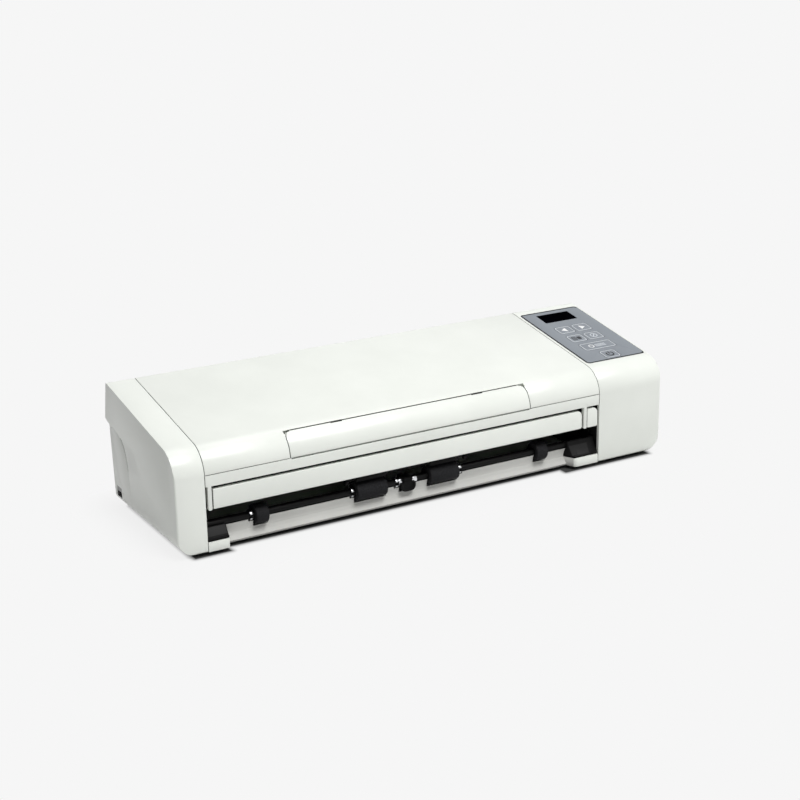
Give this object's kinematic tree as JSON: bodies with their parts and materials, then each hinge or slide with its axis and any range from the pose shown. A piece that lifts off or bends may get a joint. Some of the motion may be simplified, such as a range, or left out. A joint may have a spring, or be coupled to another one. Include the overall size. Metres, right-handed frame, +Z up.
{
  "type": "document scanner",
  "caption": "Sheet-fed document scanner with a hinged tray cover and flap, a lifting upper unit, exit rollers over a curved ramp and a side key panel.",
  "frame": {"origin": "on the table, under the middle of the housing's width and depth", "axes": "+X to the panel's side (the right, seen from the front), +Y to the back, +Z up"},
  "size_m": [0.3, 0.0919, 0.0697],
  "materials": {
    "white": "satin moulded white",
    "black": "matt black",
    "rubber": "matt black rubber",
    "steel": "bright steel",
    "film": "blue-grey film",
    "screen": "glossy black",
    "glass": "clear glass",
    "gear": "off-white acetal",
    "green": "green board"
  },
  "bodies": {
    "housing": {"base": "white", "left_end_cap": "white", "right_end_cap": "white", "left_side_plate": "black", "right_side_plate": "black", "lower_guide": "black", "lower_scan_bar": "black", "lower_scan_glass": "glass", "centre_bearing": "black", "left_exit_guide": "black", "right_exit_guide": "black", "motor": "steel", "main_board": "green", "usb_socket": "steel", "power_socket": "black", "front_left_foot": "rubber", "rear_left_foot": "rubber", "front_right_foot": "rubber", "rear_right_foot": "rubber", "control_film": "film", "display_window": "screen", "left_lid_pin": "steel", "right_lid_pin": "steel"},
    "exit_rollers": {"exit_shaft": "black", "left_narrow_roller": "rubber", "left_wide_roller": "rubber", "right_wide_roller": "rubber", "right_narrow_roller": "rubber", "exit_gear": "gear", "left_clip": "steel", "left_inner_clip": "steel", "bearing_clip": "steel", "right_inner_clip": "steel"},
    "feed_rollers": {"feed_shaft": "steel", "left_feed_tyre": "rubber", "right_feed_tyre": "rubber", "feed_gear": "gear"},
    "front_idler_gear": {"front_idler": "gear"},
    "middle_idler_gear": {"middle_idler": "gear"},
    "rear_idler_gear": {"rear_idler": "gear"},
    "motor_pinion_gear": {"motor_pinion": "steel"},
    "upper_unit": {"upper_shell": "white", "upper_guide": "black", "fascia_bar": "white", "upper_scan_bar": "black", "upper_scan_glass": "glass", "separation_pad": "rubber", "tray_hinge_rod": "steel"},
    "pinch_rollers": {"pinch_roller": "black"},
    "release": {"release_button": "white"},
    "tray": {"tray_cover": "white"},
    "tray_front_flap": {"tray_flap": "white"},
    "key_left_cap": {"key_left": "film"},
    "key_right_cap": {"key_right": "film"},
    "key_scan_type_cap": {"key_scan_type": "film"},
    "key_color_mode_cap": {"key_color_mode": "film"},
    "key_start_cap": {"key_start": "film"},
    "key_power_cap": {"key_power": "film"}
  },
  "joints": [
    {"name": "feed_spin", "type": "hinge", "parent": "housing", "child": "feed_rollers", "pos_m": [0, 0.01862, 0.04064], "axis": [1, 0, 0], "continuous": true},
    {"name": "exit_spin", "type": "hinge", "parent": "housing", "child": "exit_rollers", "pos_m": [0, -0.038, 0.0133], "axis": [1, 0, 0], "continuous": true},
    {"name": "front_idler_spin", "type": "hinge", "parent": "housing", "child": "front_idler_gear", "pos_m": [0, -0.02609, 0.01905], "axis": [1, 0, 0], "continuous": true},
    {"name": "middle_idler_spin", "type": "hinge", "parent": "housing", "child": "middle_idler_gear", "pos_m": [0, -0.01047, 0.02659], "axis": [1, 0, 0], "continuous": true},
    {"name": "rear_idler_spin", "type": "hinge", "parent": "housing", "child": "rear_idler_gear", "pos_m": [0, 0.00441, 0.03552], "axis": [1, 0, 0], "continuous": true},
    {"name": "motor_spin", "type": "hinge", "parent": "housing", "child": "motor_pinion_gear", "pos_m": [0, -0.00245, 0.01704], "axis": [1, 0, 0], "continuous": true},
    {"name": "pinch_spin", "type": "hinge", "parent": "upper_unit", "child": "pinch_rollers", "pos_m": [0, -0.03964, 0.02132], "axis": [1, 0, 0], "continuous": true},
    {"name": "lid_hinge", "type": "hinge", "parent": "housing", "child": "upper_unit", "pos_m": [0, 0.0375, 0.0488], "axis": [-1, 0, 0], "range_deg": [0, 35]},
    {"name": "tray_hinge", "type": "hinge", "parent": "upper_unit", "child": "tray", "pos_m": [0, 0.04012, 0.06153], "axis": [-1, 0, 0], "range_deg": [0, 120]},
    {"name": "flap_hinge", "type": "hinge", "parent": "tray", "child": "tray_front_flap", "pos_m": [0, -0.03852, 0.05287], "axis": [-1, 0, 0], "range_deg": [0, 75]},
    {"name": "release_slide", "type": "slide", "parent": "upper_unit", "child": "release", "axis": [0, 1, 0], "range_m": [0, 0.002], "stiffness_N_per_m": 400},
    {"name": "key_left_press", "type": "slide", "parent": "housing", "child": "key_left_cap", "axis": [0, 0.184, -0.9829], "range_m": [0, 0.0004], "stiffness_N_per_m": 500},
    {"name": "key_right_press", "type": "slide", "parent": "housing", "child": "key_right_cap", "axis": [0, 0.184, -0.9829], "range_m": [0, 0.0004], "stiffness_N_per_m": 500},
    {"name": "key_scan_type_press", "type": "slide", "parent": "housing", "child": "key_scan_type_cap", "axis": [0, 0.184, -0.9829], "range_m": [0, 0.0004], "stiffness_N_per_m": 500},
    {"name": "key_color_mode_press", "type": "slide", "parent": "housing", "child": "key_color_mode_cap", "axis": [0, 0.184, -0.9829], "range_m": [0, 0.0004], "stiffness_N_per_m": 500},
    {"name": "key_start_press", "type": "slide", "parent": "housing", "child": "key_start_cap", "axis": [0, 0.184, -0.9829], "range_m": [0, 0.0004], "stiffness_N_per_m": 500},
    {"name": "key_power_press", "type": "slide", "parent": "housing", "child": "key_power_cap", "axis": [0, 0.184, -0.9829], "range_m": [0, 0.0004], "stiffness_N_per_m": 500}
  ],
  "couplings": [
    {"joint": "exit_spin", "follows": "feed_spin", "ratio": 1.4167},
    {"joint": "rear_idler_spin", "follows": "feed_spin", "ratio": -0.73913},
    {"joint": "middle_idler_spin", "follows": "feed_spin", "ratio": 0.73913},
    {"joint": "front_idler_spin", "follows": "feed_spin", "ratio": -0.73913},
    {"joint": "motor_spin", "follows": "feed_spin", "ratio": -1.7},
    {"joint": "pinch_spin", "follows": "feed_spin", "ratio": -3.1285}
  ]
}
